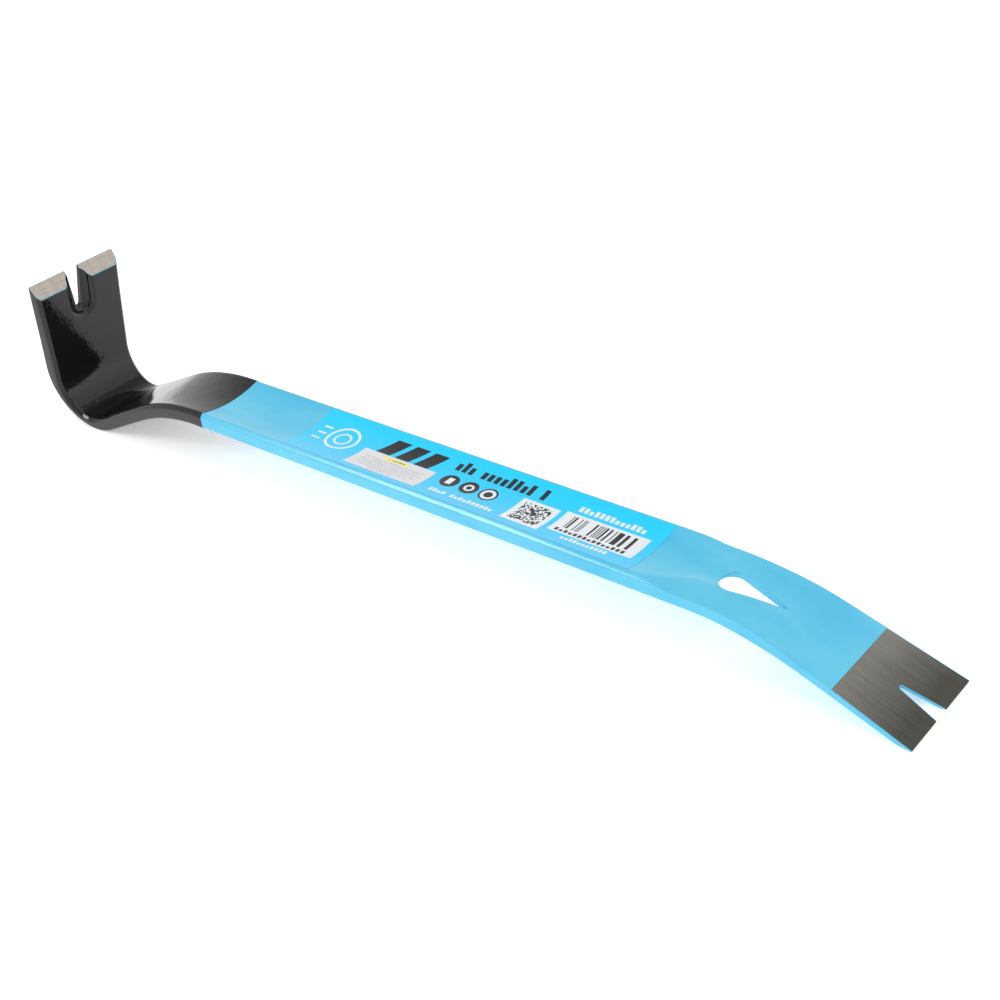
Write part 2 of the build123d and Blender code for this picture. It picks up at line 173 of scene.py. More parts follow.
class PryBarColours(bpy.types.PropertyGroup):
    enamel: paint("#58bedd", "Light blue enamel")
    enamel_deep: paint("#42b3da", "Where the enamel lies thicker")
    lacquer: paint("#121211", "Black lacquer")
    steel_hook: paint("#a8a098", "Freshly ground hook bevel")
    steel_claw: paint("#7c7b75", "Ground claw face")
    steel_claw_tip: paint("#4b4a45", "Ground claw face near its edge")
    film: paint("#14caf6", "Printed label")
    film_near: paint("#38bfec", "Near side of the printed label")
    ink: paint("#1b1e22", "Dark print")
    white_ink: paint("#dde2e6", "White print and patches")
    paper: paint("#d6d6d9", "Sticker paper")
    paper_shade: paint("#cbcbcb", "Between the sticker's fibres")
    fine_print: paint("#89898b", "Rows of print on the sticker")
    bar_print: paint("#595950", "Print on the yellow bar")
    yellow: paint("#ece04a", "Bar on the sticker")
    floor: paint("#f6f6f6", "Studio floor")


# millimetres, unless said otherwise
NECK_END = 30.0             # the neck counts as ending this far past its station
NECK_DISH_START = 44.0      # the trough starts to fade in this far before that station
NECK_DISH_END = 25.0        # and is whole this far past it
CHAMFER_LEAD = 5.0          # the chamfers run out from this far before the rims do
UNDER_RUN_OUT = 18.0        # and the lower ones end this far past the rims' end
LEAST_CHAMFER = (0.3, 0.2)  # what is left of the upper and the lower ones
WAIST_LAG = 12.0            # the shank keeps its width this far past the rims' end
WIDTH_LEAD = 6.0            # widths are taken this far short of the bend and past the neck
WIDTH_EASING = 6.0          # half the length over which they are averaged
CLAW_FLARE_RATE = 0.05      # half width gained per millimetre past the claw's edge
HOOK_FLARE_RATE = 0.025     # the same past the hook's edge
HOOK_SIDE_LEAN = 0.03       # slope of the hook's sides at its end
LEAST_LAND = 0.2            # flat left between the trough and the chamfer
TROUGH_RUN_OUT = np.array([-1.0, 13.0])     # where the trough starts and ends to run out
TROUGH_SOFTNESS = (0.04, 2.2)               # how softly it meets the top at those two
RELIEF_END_SHARE = 0.46     # radius of the relief's round end, as a share of its width
RELIEF_CURVE = 0.09         # how much its walls curve, as a share of their depth
FIELD_REACH = 8.0           # depth of the cutters of the sunk fields
TOOL_OVERRUN = 12.0
CUT_REACH = 60.0
SLIVER = 0.03


def lengths():
    """Every size in millimetres, and every angle in degrees, as plain numbers."""
    group = bpy.context.scene.pry_bar_sizes
    found = SimpleNamespace()
    for name in PryBarSizes.__annotations__:
        rotation = group.bl_rna.properties[name].unit == "ROTATION"
        value = getattr(group, name)
        setattr(found, name, degrees(value) if rotation else value * 1000)
    found.claw_station = found.overall_length - found.claw_length
    found.rim_end = found.claw_station - found.rim_gap
    found.slot_station = found.claw_station - found.slot_setback
    half = found.shank_width / 2 - found.rim_chamfer - found.rim_land
    found.trough_radius = (half**2 + found.hollow_depth**2) / (2 * found.hollow_depth)
    found.trough_axis = found.trough_radius - found.hollow_depth
    return found


# ---------------------------------------------------------------- the side view
def meet(p, angle_p, q, angle_q):
    """The point where the line through p meets the line through q, angles in degrees from +X."""
    dp = (cos(radians(angle_p)), sin(radians(angle_p)))
    dq = (cos(radians(angle_q)), sin(radians(angle_q)))
    turn = dp[0] * dq[1] - dp[1] * dq[0]
    along = ((q[0] - p[0]) * dq[1] - (q[1] - p[1]) * dq[0]) / turn
    return (p[0] + along * dp[0], p[1] + along * dp[1])


def shifted(p, angle, distance):
    """The point p moved square to a line at this angle, to the line's right-hand side."""
    return (p[0] + distance * sin(radians(angle)), p[1] - distance * cos(radians(angle)))


def moved_line(points, radii, skin):
    """The corners and radii of a rounded line after it moves by skin to its left."""
    angles = [degrees(atan2(b[1] - a[1], b[0] - a[0])) for a, b in zip(points, points[1:])]
    starts = [shifted(p, angle, -skin) for p, angle in zip(points, angles)]
    corners = [meet(p, a, q, b) for p, a, q, b in zip(starts, angles, starts[1:], angles[1:])]
    turns = [1 if sin(radians(b - a)) > 0 else -1 for a, b in zip(angles, angles[1:])]
    return (
        [starts[0], *corners, shifted(points[-1], angles[-1], -skin)],
        [radius - turn * skin for radius, turn in zip(radii, turns)],
    )


def side_view(v):
    """The corners of the bar's side view, from its driving sizes."""
    hook_angle = 90.0 - v.hook_lean
    neck_top = (v.neck_station, 0.0)
    neck_under = shifted(neck_top, v.neck_slope, v.neck_thickness)
    rise = tan(radians(v.neck_slope))
    heel = (
        v.heel_outer_radius,
        neck_under[1] + (v.heel_outer_radius - neck_under[0]) * rise
        + v.heel_outer_radius / cos(radians(v.neck_slope)),
    )
    back_angle = hook_angle - v.hook_taper
    back = shifted(heel, back_angle, -v.heel_outer_radius)
    face = shifted(heel, hook_angle, v.hook_thickness - v.heel_outer_radius)
    top = v.hook_rise + TOOL_OVERRUN
    end = v.overall_length + TOOL_OVERRUN
    claw_top = (v.claw_station, -v.claw_top_drop)
    claw_under = (v.claw_station + v.claw_under_lag, -v.bar_thickness)
    return SimpleNamespace(
        hook_angle=hook_angle,
        heel=heel,
        back=back,
        face=face,
        top_line=[
            meet(face, hook_angle, (0.0, top), 0.0),
            meet(face, hook_angle, neck_top, v.neck_slope),
            neck_top,
            (v.rim_end, 0.0),
        ],
        claw_line=[
            (v.rim_end, -v.claw_top_drop),
            claw_top,
            meet(claw_top, -v.claw_top_slope, (end, 0.0), 90.0),
        ],
        under_line=[
            meet(back, back_angle, (0.0, top), 0.0),
            meet(back, back_angle, neck_under, v.neck_slope),
            meet(neck_under, v.neck_slope, (0.0, -v.bar_thickness), 0.0),
            claw_under,
            meet(claw_under, -v.claw_under_slope, (end, 0.0), 90.0),
        ],
        claw_top=claw_top,
        claw_under=claw_under,
        claw_tip=meet(claw_top, -v.claw_top_slope, (v.overall_length, 0.0), 90.0),
        claw_end=end,
        tip_face=meet(face, hook_angle, (0.0, v.hook_rise), 0.0),
        tip_back=meet(back, back_angle, (0.0, v.hook_rise), 0.0),
    )


def runs_of(points, radii):
    """The straight runs and arcs of a line with rounded corners, in order.

    A run is a function of t, from 0 at its start to 1 at its end. An arc's centre is one radius
    to the side that the line turns to, from the point where it leaves the straight.
    """
    runs = []
    start = np.array(points[0])
    for before, corner, after, radius in zip(points, points[1:], points[2:], radii):
        a = np.subtract(corner, before) / np.linalg.norm(np.subtract(corner, before))
        b = np.subtract(after, corner) / np.linalg.norm(np.subtract(after, corner))
        turn = atan2(a[0] * b[1] - a[1] * b[0], a @ b)
        back_off = radius * tan(abs(turn) / 2)
        first = corner - a * back_off
        centre = first + np.sign(turn) * radius * np.array([-a[1], a[0]])
        begin = atan2(first[1] - centre[1], first[0] - centre[0])
        runs.append(lambda t, p=start, q=first: p + np.outer(t, q - p))
        runs.append(
            lambda t, c=centre, r=radius, s=begin, w=turn:
            c + r * np.stack([np.cos(s + w * t), np.sin(s + w * t)], -1)
        )
        start = corner + b * back_off
    runs.append(lambda t, p=start, q=np.array(points[-1]): p + np.outer(t, q - p))
    return runs


def rim_drop(v, x):
    """How far the top lies under the rims at x: level, then a straight ramp, then level, with a
    parabola at each end of the ramp."""
    grade = v.claw_top_drop / v.rim_run_out
    ends = np.array([v.rim_end, v.rim_end + v.rim_run_out])
    past = x[:, None] - ends
    eased = np.where(
        np.abs(past) < v.rim_ease, (past + v.rim_ease) ** 2 / (4 * v.rim_ease), np.maximum(past, 0)
    )
    return grade * (eased[:, 0] - eased[:, 1])


def top_and_under(v, skin):
    """Matching points of the bar's top and underside, moved outwards by skin.

    Each straight or arc of the top is sampled at the same shares of its length as the one under it.
    """
    view = side_view(v)
    tops = runs_of(*moved_line(view.top_line, [v.heel_inner_radius, v.neck_inner_radius], skin))
    claws = runs_of(*moved_line(view.claw_line, [v.claw_top_radius], skin))
    unders = runs_of(*moved_line(
        view.under_line, [v.heel_outer_radius, v.neck_outer_radius, v.claw_under_radius], -skin
    ))
    shares = [np.linspace(0, 1, count, endpoint=False) for count in (14, 40, 26, 40, 100, 34)]
    shares.append(np.linspace(0, 1, 18))
    shank_start = tops[4](np.array([0.0]))[0, 0]
    shank_end = claws[1](np.array([0.0]))[0, 0]
    x = shank_start + (shank_end - shank_start) * shares[4]
    shank = np.stack([x, skin - rim_drop(v, x)], -1)
    top = [tops[i](shares[i]) for i in range(4)] + [shank, claws[1](shares[5]), claws[2](shares[6])]
    under = [unders[i](shares[i]) for i in range(7)]
    return np.concatenate(top), np.concatenate(under)


def half_width(v, points):
    """Half the bar's width at points of the side view.

    It depends on u = (z - x) / sqrt(2), which runs up the hook and back along the shank. It goes
    straight between the shank's and claw's widths, averaged over a short length to ease the
    corners, and follows a cubic curve through the heel's, root's and hook's widths.
    """
    view = side_view(v)
    u = (points[:, 1] - points[:, 0]) / sqrt(2)
    past = TOOL_OVERRUN
    knots = [
        (view.claw_end, view.claw_line[-1][1], v.claw_width / 2 + CLAW_FLARE_RATE * past),
        (v.claw_station - WIDTH_LEAD, -v.claw_top_drop, v.claw_waist_width / 2),
        (v.rim_end + WAIST_LAG, 0.0, v.shank_width / 2),
        (v.neck_station + WIDTH_LEAD, 0.0, v.shank_width / 2),
        (view.heel[0], view.heel[1] - v.heel_outer_radius, v.heel_width / 2),
        (view.top_line[1][0], v.hook_root_height, v.hook_root_width / 2),
        (view.top_line[0][0], v.hook_rise + past, v.hook_width / 2 + HOOK_FLARE_RATE * past),
    ]
    at = np.array([(z - x) / sqrt(2) for x, z, _ in knots])
    width = np.array([w for _, _, w in knots])
    window = np.linspace(-WIDTH_EASING, WIDTH_EASING, 9)
    front = np.interp(u[:, None] + window, at[:4], width[:4]).mean(1)

    grade = np.gradient(width[3:], at[3:])
    grade[0], grade[-1] = 0.0, HOOK_SIDE_LEAN
    cell = np.clip(np.searchsorted(at[3:], u) - 1, 0, 2)
    step = np.diff(at[3:])[cell]
    t = (u - at[3:][cell]) / step
    w0, w1 = width[3:][cell], width[3:][cell + 1]
    g0, g1 = grade[cell] * step, grade[cell + 1] * step
    back = (
        w0 * (2 * t**3 - 3 * t**2 + 1) + g0 * (t**3 - 2 * t**2 + t)
        + w1 * (3 * t**2 - 2 * t**3) + g1 * (t**3 - t**2)
    )
    return np.where(u < at[3], front, back)


def eased_corner(before, corner, after, reach, steps=5):
    """A corner of every ring, rounded: a parabola from reach before it to reach after it.

    The point at share t is corner + (1 - t)^2 * towards_before + t^2 * towards_after.
    """
    back, on = before - corner, after - corner
    back_length = np.linalg.norm(back, axis=1, keepdims=True)
    on_length = np.linalg.norm(on, axis=1, keepdims=True)
    reach = np.minimum(reach, 0.45 * np.minimum(back_length, on_length))
    t = np.linspace(0, 1, steps)[None, :, None]
    return (
        corner[:, None]
        + (1 - t) ** 2 * (back / back_length * reach)[:, None]
        + t**2 * (on / on_length * reach)[:, None]
    )


def forging_rings(v, skin):
    """The forging as closed rings of points, one for each station along it.

    Each ring is the bar's section, square to its middle line: a trough that is a circle's arc
    cut off by the top, a land, a chamfered edge and a flat underside, mirrored in y. In a ring,
    a point is y across and d down from the top. On the neck the trough's arc fades out towards the
    heel by the cubic 3 s^2 - 2 s^3.
    """
    top, under = top_and_under(v, skin)
    down = under - top
    thick = np.linalg.norm(down, axis=1)
    down = down / thick[:, None]
    wide_top = half_width(v, top) + skin
    wide_under = half_width(v, under) + skin

    leg = v.rim_chamfer + skin * (2 - sqrt(2))
    chamfer_end = v.rim_end - CHAMFER_LEAD
    thinned = np.clip(leg - rim_drop(v, top[:, 0]), LEAST_CHAMFER[0], leg)
    leg_top = np.where(top[:, 0] > chamfer_end, thinned, leg)
    under_leg = v.under_chamfer + skin * (2 - sqrt(2))
    leg_under = np.interp(
        under[:, 0], [chamfer_end, v.rim_end + UNDER_RUN_OUT], [under_leg, LEAST_CHAMFER[1]]
    )

    axis, radius = v.trough_axis, v.trough_radius - skin
    above = np.clip(axis - top[:, 1], 0, None)
    on_neck = top[:, 0] < v.neck_station + NECK_END
    above = np.where(on_neck, axis - skin, above)
    lies_open = (above < radius) | on_neck
    edge = np.sqrt(np.where(lies_open, radius**2 - above**2, 0))
    edge = np.clip(edge, 1.0, wide_top - leg_top - LEAST_LAND)
    y = edge[:, None] * np.linspace(0, 1, 16)
    floor = axis - np.sqrt(radius**2 - y**2)
    depth = (top[:, 1:] - floor) / -down[:, 1:]
    across = np.linspace(0, 1, 16)
    soft = np.interp(top[:, :1], v.rim_end + TROUGH_RUN_OUT, TROUGH_SOFTNESS)
    depth = (depth + np.sqrt(depth**2 + soft**2)) / 2 - soft * across**2 / 2
    depth = np.where(lies_open[:, None], np.maximum(depth, 0), 0)
    run = NECK_DISH_START + NECK_DISH_END
    share = np.clip((top[:, :1] - v.neck_station + NECK_DISH_START) / run, 0, 1)
    depth = np.where(on_neck[:, None], (skin - floor) * share**2 * (3 - 2 * share), depth)

    zero = np.zeros_like(thick)
    corners = [
        np.stack([edge, zero], -1),
        np.stack([wide_top - leg_top, zero], -1),
        np.stack([wide_top, leg_top], -1),
        np.stack([wide_under, thick - leg_under], -1),
        np.stack([wide_under - leg_under, thick], -1),
        np.stack([zero, thick], -1),
    ]
    reach = v.painted_edge if skin > -v.black_coat - v.blue_coat / 2 else v.steel_edge
    land = np.linspace(0, 1, 5)[1:-1, None]
    flat = np.linspace(0, 1, 7)[1:, None]
    bends = [eased_corner(*corners[i:i + 3], reach) for i in range(4)]
    parts = [
        np.stack([y, depth], -1),
        corners[0][:, None] + land * (bends[0][:, :1] - corners[0][:, None]),
        *bends,
        bends[3][:, -1:] + flat * (corners[5][:, None] - bends[3][:, -1:]),
    ]
    right = np.concatenate(parts, 1)
    left = right[:, -2:0:-1] * np.array([-1, 1])
    ring = np.concatenate([right, left], 1)
    x = top[:, None, 0] + down[:, None, 0] * ring[..., 1]
    z = top[:, None, 1] + down[:, None, 1] * ring[..., 1]
    return np.stack([x, ring[..., 0], z], -1)


# ---------------------------------------------------------------- meshes
def stand(v, points):
    """Points of the bar's frame, in millimetres, in the part's own frame, in metres.

    The bar is turned about y until the line that touches the heel's arc from below touches the
    claw too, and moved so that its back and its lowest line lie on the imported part's.
    """
    view = side_view(v)
    tip = grinding_corners(v)
    touching = []
    for point in (tip.claw_heel, tip.claw_edge):
        run = (point[0] - view.heel[0], point[1] - view.heel[1])
        touching.append(atan2(run[1], run[0]) + asin(v.heel_outer_radius / hypot(*run)))
    turn = min(touching)
    low = CAD_BOX[0] * 1000
    heel_x = view.heel[0] * cos(turn) + view.heel[1] * sin(turn)
    heel_z = view.heel[1] * cos(turn) - view.heel[0] * sin(turn)
    x = points[..., 0] * cos(turn) + points[..., 2] * sin(turn) - heel_x
    z = points[..., 2] * cos(turn) - points[..., 0] * sin(turn) - heel_z
    place = np.array([low.x, 0.0, low.z]) + v.heel_outer_radius * np.array([1, 0, 1])
    return (np.stack([x, points[..., 1], z], -1) + place) / 1000


def lofted(name, rings):
    """Rings of points, in metres, joined into one closed surface.

    Neighbouring rings are joined by four-sided faces, and one flat face closes each end. The
    faces are turned round if the enclosed volume, the sum of a . (b x c) / 6, comes out negative.
    """
    stations, columns = rings.shape[:2]
    index = np.arange(stations * columns).reshape(stations, columns)
    here, there = index[:-1], index[1:]
    quads = np.stack(
        [here, np.roll(here, -1, 1), np.roll(there, -1, 1), there], -1
    ).reshape(-1, 4)
    points = rings.reshape(-1, 3)
    corner = points - points.mean(0)
    a, b, c, d = (corner[quads[:, i]] for i in range(4))
    volume = (a * np.cross(b, c)).sum() + (a * np.cross(c, d)).sum()
    way = -1 if volume < 0 else 1
    faces = [*quads[:, ::way].tolist(), index[0, ::-way].tolist(), index[-1, ::way].tolist()]
    mesh = bpy.data.meshes.new(name)
    mesh.from_pydata(points.tolist(), [], faces)
    made = bpy.data.objects.new(name, mesh)
    bpy.context.scene.collection.objects.link(made)
    return made


def block(v, name, outline, origin, across, up, along, heights):
    """A cutter: an outline (or one for each height) in the plane of across and up, carried along
    the third direction through the heights."""
    outlines = outline if isinstance(outline, list) else [outline] * len(heights)
    rings = [
        np.array(origin)
        + np.outer(o[:, 0], across) + np.outer(o[:, 1], up) + height * np.array(along)
        for o, height in zip(outlines, heights)
    ]
    return lofted(name, stand(v, np.stack(rings)))


def notch_outline(mouth, depth, end_radius, above, steps=28):
    """A V with a round end, its mouth on 0 and its end at -depth, drawn on past its mouth."""
    centre = depth - end_radius
    half = mouth / 2
    lean = asin(end_radius / hypot(half, centre)) - atan2(half, centre)
    touch = (end_radius * cos(lean), -centre + end_radius * sin(lean))
    grade = (half - touch[0]) / -touch[1]
    angle = np.linspace(lean, -pi - lean, steps)
    end = np.stack([end_radius * np.cos(angle), -centre + end_radius * np.sin(angle)], -1)
    wide = half + grade * above
    return np.concatenate([[(wide, above)], end, [(-wide, above)]])


def teardrop_outline(radius, tip_distance, tip_radius, steps=24):
    """A round end about 0 and a narrow end at +tip_distance, joined by their common tangents."""
    centre = tip_distance - tip_radius
    lean = np.arccos((radius - tip_radius) / centre)
    large = np.linspace(lean, 2 * pi - lean, 2 * steps)
    small = np.linspace(-lean, lean, steps)
    return np.concatenate([
        radius * np.stack([np.cos(large), np.sin(large)], -1),
        tip_radius * np.stack([np.cos(small), np.sin(small)], -1) + (centre, 0),
    ])


def bend_height(v, x):
    """Height of the top of the claw's bend at x: a circle that touches the flat before it."""
    past = x - (v.claw_station - v.claw_top_radius * tan(radians(v.claw_top_slope / 2)))
    return sqrt(v.claw_top_radius**2 - past**2) - v.claw_top_radius - v.claw_top_drop


def openings(v, skin):
    """Cutters for the two notches, the relief round the hook's notch, the nail slot, and the sunk
    fields under the slot and the claw.

    The relief's walls go in by a straight slant with a sine added, so that they leave the face
    and meet their floor in a curve.
    """
    view = side_view(v)
    lean = radians(v.hook_lean)
    out = np.array([cos(lean), 0, -sin(lean)])
    up = np.array([sin(lean), 0, cos(lean)])
    tip = np.array([view.tip_face[0], 0, view.tip_face[1]])
    past = TOOL_OVERRUN + 2
    taper = tan(radians(v.relief_taper))
    shares = np.linspace(0, 1, 13)
    depths = np.concatenate([[1.0], -v.relief_sink * shares])
    curved = shares + RELIEF_CURVE * np.sin(2 * pi * shares)
    spreads = np.concatenate([[1.0], -v.relief_sink * curved]) * taper
    reliefs = [
        notch_outline(v.relief_width + 2 * spread, v.relief_depth + spread,
                      RELIEF_END_SHARE * v.relief_width + spread, past)
        for spread in spreads
    ]
    slot_top = bend_height(v, v.slot_station)
    slot_fall = atan2(slot_top - bend_height(v, v.slot_station + v.slot_reach), v.slot_reach)
    fall = radians(v.claw_top_slope)
    spread = np.array([0.0, FIELD_REACH * tan(radians(v.field_taper))])
    margins = v.slot_margin - skin + spread
    claw_margins = v.claw_margin - skin + spread
    under_slot = np.array([sin(slot_fall), 0, cos(slot_fall)])
    under_claw = np.array([sin(fall), 0, cos(fall)])
    return [
        block(v, "hook_notch", notch_outline(
            v.hook_notch_mouth - 2 * skin, v.hook_notch_depth - skin,
            v.hook_notch_radius - skin, past
        ), tip, (0, 1, 0), up, out, (-CUT_REACH / 2, CUT_REACH / 2)),
        block(v, "relief", reliefs, tip + skin * out, (0, 1, 0), up, out, depths),
        block(v, "claw_notch", notch_outline(
            v.claw_notch_mouth - 2 * skin, v.claw_notch_depth - skin,
            v.claw_notch_radius - skin, past
        ), (v.overall_length, 0, 0), (0, -1, 0), (1, 0, 0), (0, 0, 1), (-CUT_REACH, 0)),
        block(v, "nail_slot", teardrop_outline(
            v.slot_radius - skin, v.slot_reach - skin, v.slot_tip_radius - skin
        ), (v.slot_station, 0, 0), (1, 0, 0), (0, 1, 0), (0, 0, 1), (-CUT_REACH, CUT_REACH)),
        block(v, "slot_field", [
            teardrop_outline(v.slot_radius + m, v.slot_reach + m, v.slot_tip_radius + m)
            for m in margins
        ], (v.slot_station, 0, slot_top) - (v.slot_web + skin) * under_slot,
            (cos(slot_fall), 0, -sin(slot_fall)), (0, 1, 0), -under_slot, (0.0, FIELD_REACH)),
        block(v, "claw_field", [
            notch_outline(v.claw_notch_mouth + 2 * m, v.claw_notch_depth + m,
                          v.claw_field_radius - v.claw_margin + m, past)
            for m in claw_margins
        ], (v.overall_length, 0, view.claw_tip[1]) - (v.claw_web + skin) * under_claw,
            (0, -1, 0), (cos(fall), 0, -sin(fall)), -under_claw, (0.0, FIELD_REACH)),
    ]


def grinding_corners(v):
    """The corners that the grinding leaves, in the side view."""
    view = side_view(v)
    edge = (view.tip_back[0] + v.hook_edge_land, v.hook_rise)
    root = meet(view.face, view.hook_angle, (0.0, v.hook_rise - v.hook_bevel_rise), 0.0)
    bevel = degrees(atan2(root[1] - edge[1], root[0] - edge[0]))
    ground_x = v.overall_length - v.claw_ground_length
    start = meet(view.claw_top, -v.claw_top_slope, (ground_x, 0.0), 90.0)
    start = shifted(start, -v.claw_top_slope, v.black_coat + v.blue_coat + SLIVER)
    fall = -v.claw_top_slope - v.ground_angle
    tip = meet(start, fall, (v.overall_length, 0.0), 90.0)
    return SimpleNamespace(
        hook_edge=edge,
        bevel_out=meet(edge, bevel, (root[0] + 2.0, 0.0), 90.0),
        ground_start=start,
        ground_tip=tip,
        ground_end=meet(start, fall, (view.claw_end, 0.0), 90.0),
        claw_edge=(v.overall_length, tip[1] - v.claw_edge_land),
        claw_heel=meet(
            shifted(view.claw_under, -v.claw_under_slope, -v.black_coat), -v.claw_under_slope,
            (v.overall_length - v.claw_bevel_length, 0.0), 90.0,
        ),
    )


def grinding(v):
    """Cutters for the ground bevel of the hook, and the ground face, edge and bevel of the claw."""
    view, g = side_view(v), grinding_corners(v)
    far, reach = view.claw_end, CUT_REACH
    outlines = {
        "hook_stock": [g.hook_edge, g.bevel_out, (g.bevel_out[0], reach), (-TOOL_OVERRUN, reach),
                       (-TOOL_OVERRUN, v.hook_rise)],
        "face_stock": [g.ground_start, shifted(g.ground_start, -v.claw_top_slope, -TOOL_OVERRUN),
                       (far, TOOL_OVERRUN), g.ground_end],
        "edge_stock": [g.ground_tip, g.claw_edge, g.claw_heel, (g.claw_heel[0], -reach),
                       (far + 1, -reach), (far + 1, g.ground_tip[1])],
    }
    return [
        block(v, name, np.array(outline), (0, 0, 0), (1, 0, 0), (0, 0, 1), (0, 1, 0),
              (-reach, reach))
        for name, outline in outlines.items()
    ]


def cut(piece, tools):
    """Takes each tool's solid out of the piece, one after another, and removes the tools."""
    for tool in tools:
        modifier = piece.modifiers.new(tool.name, "BOOLEAN")
        modifier.operation = "DIFFERENCE"
        modifier.solver = "MANIFOLD"
        modifier.object = tool
    graph = bpy.context.evaluated_depsgraph_get()
    made = bpy.data.meshes.new_from_object(piece.evaluated_get(graph))
    piece.modifiers.clear()
    piece.data = made
    for tool in tools:
        bpy.data.objects.remove(tool)
    if not made.polygons:
        raise RuntimeError(f"nothing is left of {piece.name} after its cuts")
    return piece


def forging(v, name, skin):
    """The whole forging with its notches and slot, unground, with its surface moved out by skin."""
    return cut(lofted(name, stand(v, forging_rings(v, skin))), openings(v, skin))


def finished(piece, cad_node, recipe, crease=30):
    """Smooths the piece's shading up to the crease angle, and puts it in the CAD node's place."""
    mesh = piece.data
    mesh.name = piece.name
    mesh.shade_smooth()
    mesh.set_sharp_from_angle(angle=radians(crease))
    mesh.materials.clear()
    mesh.materials.append(material_of(recipe))
    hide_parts(cad_node)
    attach(piece, "root")
    return piece


def trough_sheet(v, name, cad_node, below, film, edge=0.05):
    """A thin sheet in the trough, as large as the CAD node.

    z = axis - sqrt(radius^2 - y^2), once with the radius of its underside and once with that of
    its top. Rings run round the sheet along x: its top across, then its underside back.
    """
    low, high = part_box(cad_node)
    shift = stand(v, np.zeros(3))[0] * 1000
    x = np.linspace(low.x * 1000 - shift, high.x * 1000 - shift, 60)
    y = np.linspace(low.y * 1000, high.y * 1000, 40)
    axis, outer = v.trough_axis, v.trough_radius + v.black_coat - below
    inset = np.array([edge, *[0] * (len(y) - 2), -edge])
    upper = np.stack([y + inset, axis - np.sqrt((outer - film) ** 2 - y**2)], -1)
    lower = np.stack([y, axis - np.sqrt(outer**2 - y**2)], -1)[::-1]
    ring = np.concatenate([upper, lower])
    rings = np.stack(np.broadcast_arrays(x[:, None], ring[None, :, 0], ring[None, :, 1]), -1)
    return lofted(name, stand(v, rings))


# ---------------------------------------------------------------- materials
def node(tree, kind, *values, out=0, **settings):
    """Adds a shader node with its settings, and gives one of its outputs. The values fill its
    inputs in order, or by name or number if they come in a dict. A socket is linked to its input,
    and anything else is set on it."""
    made = tree.nodes.new("ShaderNode" + kind)
    for key, value in settings.items():
        setattr(made, key, value)
    inputs = values[0] if values and isinstance(values[0], dict) else dict(enumerate(values))
    for key, value in inputs.items():
        if isinstance(value, bpy.types.NodeSocket):
            tree.links.new(value, made.inputs[key])
        else:
            made.inputs[key].default_value = value
    return made.outputs[out] if made.outputs else None


def material_of(recipe):
    """A material named after its recipe, which gives the inputs of its one shader."""
    group = bpy.context.scene.pry_bar_colours
    palette = SimpleNamespace(**{
        key: (*getattr(group, key), 1.0) for key in PryBarColours.__annotations__
    })
    material = bpy.data.materials.new(recipe.__name__)
    material.use_nodes = True
    tree = material.node_tree
    tree.nodes.clear()
    shader = node(tree, "BsdfPrincipled", recipe(tree, palette))
    node(tree, "OutputMaterial", {"Surface": shader})
    return material


def in_millimetres(tree, centre=(0, 0, 0), stretch=(1, 1, 1)):
    """Object coordinates in millimetres, about a centre given in metres, each scaled by stretch."""
    scale = np.array(stretch) * 1000.0
    return node(tree, "Mapping", {
        "Vector": node(tree, "TexCoord", out="Object"),
        "Scale": tuple(scale), "Location": tuple(-np.array(centre) * scale),
    }, vector_type="POINT")


def layered(tree, colour, layers):
    """Colours laid one over another. Each layer is a share, from 0 to 1, and its colour."""
    for share, over in layers:
        colour = node(
            tree, "Mix", {0: share, 6: colour, 7: over}, out=2, data_type="RGBA"
        )
    return colour


def belt_ground_steel(tree, c):
    """Bare steel ground on a belt. The belt leaves fine parallel scratches, so the metal shines
    as a soft streaked glow and not as a mirror."""
    along = node(tree, "SeparateXYZ", in_millimetres(tree))
    on_claw = node(tree, "Math", along, 0.0, operation="GREATER_THAN")
    # belt scratches are about 0.05 mm apart, drawn at 0.35 mm so that they show
    on_hook_run, on_claw_run = (
        node(tree, "TexNoise", {
            "Vector": in_millimetres(tree, stretch=stretch), "Scale": 1 / 0.35,
            "Detail": 3.0, "Roughness": 0.7,
        })
        for stretch in ((0.9, 0.03, 0.9), (0.02, 1, 0.05))
    )
    scratch = node(tree, "Mix", {0: on_claw, 2: on_hook_run, 3: on_claw_run}, data_type="FLOAT")
    broad = node(tree, "TexNoise", {
        "Vector": in_millimetres(tree, stretch=(0.08, 1, 0.1)), "Scale": 1 / 3, "Detail": 2.0,
    })
    tip = node(tree, "MapRange", along, 168.0, 190.0)
    claw = layered(tree, c.steel_claw, [(tip, c.steel_claw_tip)])
    shade = node(
        tree, "Math", node(tree, "MapRange", scratch, 0.3, 0.7, 0.78, 1.18),
        node(tree, "MapRange", broad, 0.3, 0.7, -0.08, 0.08), operation="ADD",
    )
    return {
        "Base Color": node(tree, "VectorMath", {
            0: layered(tree, c.steel_hook, [(on_claw, claw)]), "Scale": shade,
        }, operation="SCALE"),
        "Metallic": 1.0,
        "Roughness": node(tree, "MapRange", scratch, 0.3, 0.7, 0.34, 0.5),
        "Normal": node(tree, "Bump", {"Height": scratch, "Strength": 0.25, "Distance": 0.00002}),
    }


